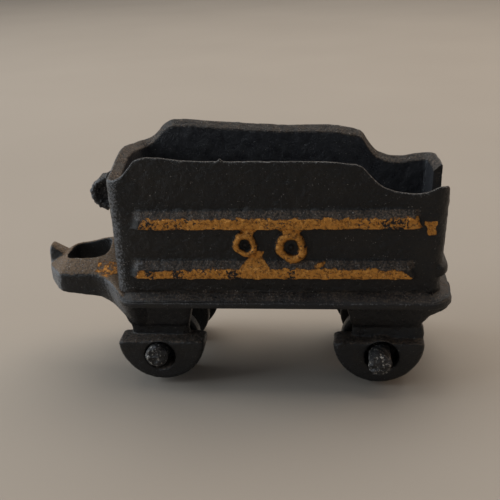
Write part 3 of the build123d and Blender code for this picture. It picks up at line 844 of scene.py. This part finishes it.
def turned(profile, count, x, z, side=1):
    # A profile of distance from the axle and place along it, turned once round
    r, y = np.array(profile, float).T
    turn = np.linspace(0, 2 * math.pi, count, endpoint=False)
    px = x + r[None, :] * np.cos(turn)[:, None]
    pz = z + r[None, :] * np.sin(turn)[:, None]
    py = np.broadcast_to(side * y[None, :], px.shape)
    return np.stack([px, py, pz], -1)


wheel = {
    "bore": 2.3,
    "hub": 3.3,
    "webIn": 0.5,
    "rimWide": 1.8,
    "offBore": {"front": 0.5, "rear": -0.55},  # how far the rim was cast off its bore
}


def wheelProfile(low, high, radius):
    # The closed section: bore, hub face, web, rim face and tread, and the same back on the far face
    width = high - low
    bore, hub, web, rim = wheel["bore"], wheel["hub"], wheel["webIn"], wheel["rimWide"]
    half = [
        (bore, 0), (hub, 0), (hub + 0.3, 0.15), (hub + 0.5, web), (radius - rim, web),
        (radius - 1.45, 0.1), (radius - 0.5, 0), (radius - 0.12, 0.2), (radius, 0.55),
    ]
    keys = [(r, low + y) for r, y in half] + [(radius, low + width / 2)]
    keys = np.array(keys + [(r, high - y) for r, y in half[::-1]])
    run = np.concatenate([[0], np.cumsum(np.hypot(*np.diff(keys, axis=0).T))])
    s = np.linspace(0, run[-1], 90)
    return np.stack([np.interp(s, run, keys[:, 0]), np.interp(s, run, keys[:, 1])], 1)


def makeWheel(place, name, node, body, side):
    # The section turned once round the axle, its rim pushed a little to one side
    low, high = corners(node)
    x, z = (low[0] + high[0]) / 2, (low[2] + high[2]) / 2
    y0, y1 = sorted((abs(low[1]), abs(high[1])))
    profile = wheelProfile(y0, y1, (high[2] - low[2]) / 2)
    points = turned(profile, 260, x, z, side)
    away = np.hypot(points[..., 0] - x, points[..., 2] - z)
    points[..., 0] += wheel["offBore"][place] * ease((away - 3.7) / 2.2)
    piece = makePiece(name, ringShape(points), body, [node], 40)
    roughen(piece, 0.04, 0.05, inward=True)
    return piece


axle = {
    "longer": {"front": 0.1, "rear": 0.5},  # beyond the rod at either end
    "dome": 0.9,  # how far the end's rim falls back
    "dents": [(0.55, 1.1, 8), (0.25, 0.5, 9)],  # depth, size and seed
    "slant": (0.10, 0.06),
    "mushroom": 0.2,
}


def makeAxle(place, name, node, body):
    # A rod turned from its profile. Its beaten ends are quarter-circle domes, dented by lumps, cut
    # on a slant and spread a little.
    low, high = corners(node)
    x, z = (low[0] + high[0]) / 2, (low[2] + high[2]) / 2
    radius, end = (high[2] - low[2]) / 2, high[1] + axle["longer"][place]
    bend = np.linspace(0.05, 1, 26) * math.pi / 2
    domeR = np.concatenate([[0.02], radius * np.sin(bend)])
    domeY = np.concatenate([[end - 0.02], end - 0.02 - axle["dome"] * (1 - np.cos(bend)) ** 1.6])
    rodY = np.linspace(-end + 1.3, end - 1.3, 60)
    profileR = np.concatenate([domeR, 0 * rodY + radius, domeR[::-1]])
    profile = np.stack([profileR, np.concatenate([-domeY, rodY, domeY[::-1]])], 1)
    points = turned(profile, 96, x, z)
    tip = ease((np.abs(points[..., 1]) - (end - 1.6)) / 1.2)
    dents = sum(deep * np.abs(lumps(points, size, seed)) for deep, size, seed in axle["dents"])
    slantX, slantZ = axle["slant"]
    slant = slantX * (points[..., 0] - x + radius) + slantZ * (points[..., 2] - z + radius)
    points[..., 1] -= np.sign(points[..., 1]) * tip * (dents + slant)
    skin = 0.05 * np.abs(lumps(points, 0.7, 10)) * (1 + 2 * tip)
    spread = axle["mushroom"] * ease((np.abs(points[..., 1]) - end + 2.0) / 1.0)
    skin = skin + 0.35 * tip * np.abs(lumps(points, 1.3, 12)) - spread
    points[..., 0] -= (points[..., 0] - x) / radius * skin
    points[..., 2] -= (points[..., 2] - z) / radius * skin
    nu, nv = points.shape[:2]
    faces = gridFaces(nu, nv, closeU=True).tolist()
    faces.append([k * nv for k in range(nu)])
    faces.append([k * nv + nv - 1 for k in range(nu)])
    return makePiece(name, (points.reshape(-1, 3), faces), body, [node], 80)


wheels = []
axles = []
for place in ("front", "rear"):
    body = place + "_wheelset"
    wheels.append(makeWheel(place, place + "NearWheel", place + "_near_wheel", body, -1))
    wheels.append(makeWheel(place, place + "FarWheel", place + "_far_wheel", body, 1))
    axles.append(makeAxle(place, place + "Axle", place + "_axle", body))
print("wheelsets are done")


class Nodes:
    # A short way to write a node tree: make a node, set its inputs, link what is given. An input
    # goes by its label, or by i and its number where several share a label.
    def __init__(self, name):
        self.material = bpy.data.materials.new(name)
        self.material.use_nodes = True
        self.tree = self.material.node_tree
        self.tree.nodes.clear()

    def add(self, kind, settings=None, **inputs):
        node = self.tree.nodes.new("ShaderNode" + kind)
        for key, value in (settings or {}).items():
            setattr(node, key, value)
        for key, value in inputs.items():
            numbered = key[0] == "i" and key[1:].isdigit()
            socket = node.inputs[int(key[1:]) if numbered else key.replace("_", " ")]
            if isinstance(value, bpy.types.NodeSocket):
                self.tree.links.new(value, socket)
            else:
                socket.default_value = value
        return node

    def attribute(self, name):
        return self.add("Attribute", {"attribute_name": name}).outputs["Fac"]

    def noise(self, place, scale, detail=3.0, rough=0.6):
        node = self.add("TexNoise", None, Vector=place, Scale=scale, Detail=detail, Roughness=rough)
        return node.outputs["Fac"]

    def ramp(self, value, low, high):
        # 0 at the first limit and 1 at the second, eased between
        eased = {"interpolation_type": "SMOOTHSTEP"}
        return self.add("MapRange", eased, Value=value, i1=low, i2=high).outputs["Result"]

    def spread(self, value, low, high):
        # A noise's usual run, 0.3 to 0.7, spread over two limits
        return self.add("MapRange", None, Value=value, i1=0.3, i2=0.7, i3=low, i4=high).outputs["Result"]

    def maths(self, operation, a, b, clamp=False):
        return self.add("Math", {"operation": operation, "use_clamp": clamp}, i0=a, i1=b).outputs[0]

    def plus(self, a, b, clamp=False):
        return self.maths("ADD", a, b, clamp)

    def times(self, a, b):
        return self.maths("MULTIPLY", a, b)

    def swing(self, value, middle, size):
        # (value - middle) * size
        return self.times(self.maths("SUBTRACT", value, middle), size)

    def mix(self, share, a, b):
        return self.add("Mix", {"data_type": "RGBA"}, i0=share, i6=a, i7=b).outputs[2]


# colours are linear; lengths in a finish are in metres
enamel = {
    "skin": [(0.0038, 0.0039, 0.0048, 1), (0.0080, 0.0068, 0.0062, 1)],  # cold and warm black
    "castSkin": [(0.0084, 0.0087, 0.0102, 1), (0.0115, 0.0100, 0.0090, 1)],
    "greyDust": ((0.125, 0.092, 0.068, 1), 0.42, 0.62),  # colour, and the grain's limits under it
    "brownDust": ((0.152, 0.098, 0.056, 1), 0.30, 0.56),
    "dustDark": (0.022, 0.018, 0.0155, 1),
    # painted reflection on the inside of the walls: two lighter, bluer blacks
    "insideReflection": [(0.0225, 0.0240, 0.029, 1), (0.0310, 0.0330, 0.038, 1)],
    # pale specks: part dust, part painted glints
    "speckAndGlint": (0.24, 0.225, 0.21, 1),
    # bare iron on worn edges, also painted highlight on faces toward the window lamp
    "wornIronAndHighlight": (0.125, 0.13, 0.14, 1),
    "gold": (0.60, 0.26, 0.045, 1),
    "goldDark": (0.17, 0.068, 0.014, 1),
    "goldBright": (0.95, 0.52, 0.15, 1),
    "goldEdgeDark": (0.075, 0.026, 0.008, 1),
    "goldMetal": 0.4,
    "gloss": (0.23, 0.45),  # roughness where the skin is smooth and where it is dull
    "dustRoughness": 0.35,
    "specular": 0.4,
    "bump": 0.00028,
}


def layGold(n, place, patch, colour, height):
    # The gold covers where its field plus a ragged noise is above zero, less pits, which grow where
    # it flakes. Its tone runs from dark to gold to glints, and darker towards its edge.
    inside = n.plus(n.attribute("gold"), n.swing(n.noise(place, 900.0, 4.0, 0.62), 0.5, 1.6))
    flaked = n.plus(n.times(n.attribute("flake"), 0.145), n.times(n.ramp(patch, 0.5, 0.65), 0.02))
    pits = n.maths("SUBTRACT", n.noise(place, 1500.0, 4.0, 0.70), flaked)
    cover = n.times(n.ramp(inside, 0.0, 0.06), n.ramp(pits, 0.358, 0.38))
    body = n.ramp(n.noise(place, 1300.0, 5.0, 0.78), 0.36, 0.54)
    tone = n.mix(body, enamel["goldDark"], enamel["gold"])
    glint = n.ramp(n.noise(place, 2300.0, 2.0, 0.6), 0.56, 0.68)
    tone = n.mix(n.times(glint, 0.45), tone, enamel["goldBright"])
    tone = n.mix(n.times(n.ramp(inside, 0.25, 0.03), 0.85), tone, enamel["goldEdgeDark"])
    metal = n.times(cover, enamel["goldMetal"])
    return n.mix(cover, colour, tone), n.plus(height, n.times(cover, 0.6)), metal


def makeEnamel(name, skin, dustKind, hasGold):
    # Black, with a painted reflection down the inside, dust, specks that are partly painted glints, worn iron
    # that is partly painted highlight, and gold laid over it in turn. A layer's share is its painted number
    # plus noise, eased between two limits, so that its edge is ragged.
    n = Nodes(name)
    place = n.add("TexCoord").outputs["Object"]
    dust = n.attribute("dust")
    wearAndHighlight = n.attribute("wearAndHighlight")
    grain = n.noise(place, 2200.0, 4.0, 0.7)
    fine = n.noise(place, 5200.0, 1.0, 0.6)
    patch = n.noise(place, 420.0, 4.0, 0.65)
    colour = n.mix(n.ramp(n.noise(place, 160.0), 0.42, 0.68), *enamel[skin])
    if hasGold:
        # painted reflection: the inside of the walls takes the lighter, bluer blacks
        colour = n.mix(n.attribute("insideReflection"), colour, n.mix(n.ramp(patch, 0.35, 0.65), *enamel["insideReflection"]))
    dustColour, low, high = enamel[dustKind]
    dustEdge = n.plus(n.plus(dust, n.swing(patch, 0.5, 1.3)), n.swing(grain, 0.5, 0.9))
    dustShare = n.times(n.ramp(dustEdge, 0.25, 1.15), 0.9)
    colour = n.mix(dustShare, colour, n.mix(n.ramp(grain, low, high), enamel["dustDark"], dustColour))
    # pale specks, part dust and part painted glints, crowd where dust lies and where the skin is worn or
    # painted with highlight
    crowd = n.plus(n.maths("MAXIMUM", dust, wearAndHighlight), n.ramp(patch, 0.5, 0.72))
    speckAndGlintValue = n.plus(n.noise(place, 3600.0, 0.0, 0.5), n.times(crowd, 0.085))
    specksAndGlints = n.times(n.ramp(speckAndGlintValue, 0.80, 0.86), n.ramp(fine, 0.35, 0.6))
    colour = n.mix(specksAndGlints, colour, enamel["speckAndGlint"])
    # worn iron with painted highlight: bare grey on worn edges and on faces turned to the window lamp
    wearAndHighlightShare = n.ramp(n.plus(wearAndHighlight, n.swing(grain, 0.52, 3.6)), 0.55, 1.15)
    colour = n.mix(wearAndHighlightShare, colour, enamel["wornIronAndHighlight"])
    roughness = n.spread(patch, *enamel["gloss"])
    roughness = n.plus(roughness, n.times(dustShare, enamel["dustRoughness"]), clamp=True)
    height = n.plus(n.plus(grain, n.times(fine, 0.5)), n.times(patch, 1.6))
    shader = {}
    if hasGold:
        colour, height, shader["Metallic"] = layGold(n, place, patch, colour, height)
    bump = n.add("Bump", None, Strength=0.7, Distance=enamel["bump"], Height=height).outputs["Normal"]
    surface = n.add("BsdfPrincipled", None, Base_Color=colour, Roughness=roughness, Normal=bump, **shader)
    surface.inputs["Specular IOR Level"].default_value = enamel["specular"]
    n.add("OutputMaterial", None, Surface=surface.outputs[0])
    return n.material


steel = {
    "dark": (0.008, 0.008, 0.0085, 1),
    "bare": (0.06, 0.06, 0.064, 1),
    "glint": (0.42, 0.40, 0.37, 1),
    "metal": 0.7,
    "roughness": (0.35, 0.6),
    "bump": 0.0004,
}


def makeSteel(name):
    # Dark skin beaten off in broad patches down to bare metal, with fine bright glints over both
    n = Nodes(name)
    place = n.add("TexCoord").outputs["Object"]
    grain = n.noise(place, 1300.0, 5.0, 0.7)
    broad = n.noise(place, 500.0)
    bare = n.ramp(broad, 0.47, 0.6)
    colour = n.mix(bare, steel["dark"], steel["bare"])
    colour = n.mix(n.ramp(grain, 0.555, 0.62), colour, steel["glint"])
    metal = n.times(bare, steel["metal"])
    rough = n.spread(grain, *steel["roughness"])
    height = n.plus(grain, broad)
    bump = n.add("Bump", None, Strength=0.8, Distance=steel["bump"], Height=height).outputs["Normal"]
    surface = n.add("BsdfPrincipled", None, Base_Color=colour, Roughness=rough, Metallic=metal, Normal=bump)
    n.add("OutputMaterial", None, Surface=surface.outputs[0])
    return n.material


paleFloor = {
    "tones": [(0.325, 0.292, 0.256, 1), (0.365, 0.329, 0.290, 1)],
    "roughness": 0.7,
    "specular": 0.2,
    "width": 6.0,
}


def makeFloorFinish():
    # Two pale tones in broad clouds
    n = Nodes("paleFloor")
    place = n.add("TexCoord").outputs["Object"]
    colour = n.mix(n.noise(place, 9.0, 2.0, 0.5), *paleFloor["tones"])
    surface = n.add("BsdfPrincipled", None, Base_Color=colour)
    surface.inputs["Roughness"].default_value = paleFloor["roughness"]
    surface.inputs["Specular IOR Level"].default_value = paleFloor["specular"]
    n.add("OutputMaterial", None, Surface=surface.outputs[0])
    return n.material


tubFinish = makeEnamel("blackEnamelWithGold", "skin", "greyDust", True)
castFinish = makeEnamel("blackEnamel", "castSkin", "greyDust", False)
yokeFinish = makeEnamel("blackEnamelBrowned", "castSkin", "brownDust", True)
steelFinish = makeSteel("beatenSteel")


# dust, wear with painted highlight, and a gold smear, per piece
soilAndHighlight = {
    "truckDust": {"front": 0.95, "rear": 0.8},
    # painted highlight with wear on each truck's front-facing faces
    "truckWearAndHighlight": {"front": 0.62, "rear": 0.2},
    "yokeDust": (1.75, 0.9),  # on what looks up, and close to the tub
    "floorDust": 0.7,
    "lugDust": 0.5,
    # painted highlight with wear on the lug
    "lugWearAndHighlight": 0.46,
    # gold smeared on the yoke: before the tub, from the middle, and its two half sizes
    "smear": (4.2, 7.8, 3.6, 2.6),
}


def giveFinish(piece, material):
    # One finish for the whole piece
    piece.data.materials.clear()
    piece.data.materials.append(material)


def dustWearAndHighlight(piece, dust=None, wearAndHighlight=None):
    # Dust lies where a face looks up; wear with painted highlight is where the given share says
    normal = vertexNormals(piece.data)
    place = vertexPlaces(piece.data)
    up = ease((normal[:, 2] - 0.35) / 0.5)
    paintPoints(piece.data, "dust", up * 0.8 if dust is None else dust(place, normal, up))
    paintPoints(piece.data, "wearAndHighlight", np.zeros(len(place)) if wearAndHighlight is None else wearAndHighlight(place, normal, up))


def windowFacing(normal, up, start):
    # 1 where a face looks to the front end, toward the window lamp, and 0 where it looks up or back; the
    # share it gives is painted highlight
    return ease((-normal[:, 0] - start) / 0.5) * (1 - up)


def floorWearAndHighlight(place, normal, up):
    # Wear with painted highlight along the sill's edge, and painted highlight on what looks to the front end,
    # toward the window lamp
    rim = np.exp(-np.abs(place[:, 2] - footZ + 1.5) / 0.3) * ease((np.abs(place[:, 1]) - 12) / 2)
    return 0.6 * rim + 0.5 * windowFacing(normal, 0, 0.4)


def yokeDust(place, normal, up):
    # On what looks up, and into the corner against the tub
    onTop, inCorner = soilAndHighlight["yokeDust"]
    atTub = ease(1 - (tubFront - place[:, 0]) / 7)
    return onTop * up + inCorner * atTub * ease((normal[:, 2] + 0.1) / 0.4)


def yokeWearAndHighlight(place, normal, up):
    # Painted highlight with wear on what looks to the front, toward the window lamp, more at the nose, and
    # where the bars meet the tub
    front = windowFacing(normal, up, 0.2)
    nose = ease((tubFront - 13.5 - place[:, 0]) / 1.5)
    root = ease((tubFront + 0.5 - place[:, 0]) / 3) * ease((np.abs(place[:, 1]) - 9.4) / 2.5)
    return 0.8 * front + 0.9 * front * nose + 0.8 * root * (1 - 0.5 * up)


def yokeGold(place):
    # Gold was smeared on the top between the eye and the tub, on both sides
    before, aside, halfLong, halfWide = soilAndHighlight["smear"]
    away = np.hypot((place[:, 0] - tubFront + before) / halfLong, (np.abs(place[:, 1]) - aside) / halfWide)
    onTop = ease((place[:, 2] - footZ - 0.6) / 0.8)
    return np.clip(0.66 - 0.85 * away, -3, 0.07) * onTop - 3 * (1 - onTop)


def truckDustAndHighlight(place):
    # Dust on what looks up, and painted highlight with wear on what looks to the front, toward the window
    # lamp, each at its truck's strength
    dusty, worn = soilAndHighlight["truckDust"][place], soilAndHighlight["truckWearAndHighlight"][place]
    return lambda at, normal, up: dusty * up, lambda at, normal, up: worn * windowFacing(normal, up, 0.25)


def lugWearAndHighlight(place, normal, up):
    # Worn and given painted highlight all over, and most where it looks to the front, toward the window lamp
    return soilAndHighlight["lugWearAndHighlight"] + 0.5 * ease((-normal[:, 0] + 0.1) / 0.6)


dustWearAndHighlight(floorPiece, lambda place, normal, up: soilAndHighlight["floorDust"] * up, floorWearAndHighlight)
dustWearAndHighlight(yokePiece, yokeDust, yokeWearAndHighlight)
paintPoints(yokePiece.data, "gold", yokeGold(vertexPlaces(yokePiece.data)))
dustWearAndHighlight(frontTruck, *truckDustAndHighlight("front"))
dustWearAndHighlight(rearTruck, *truckDustAndHighlight("rear"))
dustWearAndHighlight(hookPiece)
dustWearAndHighlight(lugPiece, lambda place, normal, up: soilAndHighlight["lugDust"] * up, lugWearAndHighlight)
for piece in wheels:
    paintPoints(piece.data, "dust", np.zeros(len(piece.data.vertices)))
    paintPoints(piece.data, "wearAndHighlight", np.zeros(len(piece.data.vertices)))
for finish, pieces in (
    (tubFinish, [nearTub, farTub]),
    (yokeFinish, [yokePiece]),
    (castFinish, [floorPiece, frontTruck, rearTruck, hookPiece, lugPiece] + wheels),
    (steelFinish, axles),
):
    for piece in pieces:
        giveFinish(piece, finish)
for node in ("front_truck_rivet", "rear_truck_rivet", "near_foot_rivets", "far_foot_rivets"):
    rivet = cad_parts[node]
    if not rivet.data.materials:
        rivet.data.materials.append(steelFinish)
    for holder in rivet.material_slots:
        holder.material = steelFinish
print("finishes are on")


room = {
    "lens": 57.6,
    "yaw": 6.036,
    "pitch": 22.655,
    "roll": -2.36,
    "away": 177.72,
    "lookX": 29.27,
    "lookZ": 24.385,
    "shift": (-0.028, 0.014),
    "sky": (0.90, 0.90, 0.91, 1),
    "skyStrength": 0.21,
}

bpy.ops.mesh.primitive_grid_add(x_subdivisions=8, y_subdivisions=8, size=paleFloor["width"])
ground = bpy.context.object
ground.name = "ground"
ground.data.materials.append(makeFloorFinish())

look = Vector((tubFront + room["lookX"], 0, room["lookZ"])) * 0.001
yaw, pitch = math.radians(room["yaw"]), math.radians(room["pitch"])
back = Vector((math.sin(yaw) * math.cos(pitch), -math.cos(yaw) * math.cos(pitch), math.sin(pitch)))
cameraData = bpy.data.cameras.new("camera")
camera = bpy.data.objects.new("camera", cameraData)
bpy.context.scene.collection.objects.link(camera)
cameraData.lens = room["lens"]
cameraData.sensor_width = 36.0
cameraData.shift_x, cameraData.shift_y = room["shift"]
cameraData.clip_start = 0.005
cameraData.clip_end = 20.0
camera.location = look + back * room["away"] * 0.001
camera.rotation_mode = "QUATERNION"
turnQ = (-back).to_track_quat("-Z", "Y")
camera.rotation_quaternion = turnQ @ Quaternion((0, 0, 1), math.radians(room["roll"]))
bpy.context.scene.camera = camera


# places, targets and sizes in metres, power in watts
lamps = {
    "windowLeft": {
        "place": (-0.95, -0.06, 0.42), "target": (0, 0, 0.02), "size": (0.8, 0.6),
        "power": 7.2, "colour": (0.86, 0.94, 1.0),
    },
    "ceiling": {
        "place": (0.05, 0.42, 0.95), "target": (0, 0, 0.02), "size": (1.3, 1.1),
        "power": 10.6, "colour": (1.0, 0.92, 0.82),
    },
    "warmRight": {
        "place": (0.8, 0.3, 0.4), "target": (0.1, 0, 0), "size": (0.5, 0.4),
        "power": 1.4, "colour": (1.0, 0.68, 0.42),
    },
}


def softLight(name, place, target, size, power, colour):
    # An oblong lamp that looks from its place to its target
    data = bpy.data.lights.new(name, "AREA")
    data.shape = "RECTANGLE"
    data.size, data.size_y = size
    data.energy = power
    data.color = colour
    lamp = bpy.data.objects.new(name, data)
    bpy.context.scene.collection.objects.link(lamp)
    lamp.location = place
    lamp.rotation_mode = "QUATERNION"
    lamp.rotation_quaternion = (Vector(target) - Vector(place)).to_track_quat("-Z", "Y")


for name, settings in lamps.items():
    softLight(name, **settings)

world = bpy.data.worlds.new("room")
bpy.context.scene.world = world
world.use_nodes = True
sky = world.node_tree.nodes["Background"]
sky.inputs["Color"].default_value = room["sky"]
sky.inputs["Strength"].default_value = room["skyStrength"]
bpy.context.scene.view_settings.view_transform = "Standard"
print("camera and lamps are set")

print("scene is ready")
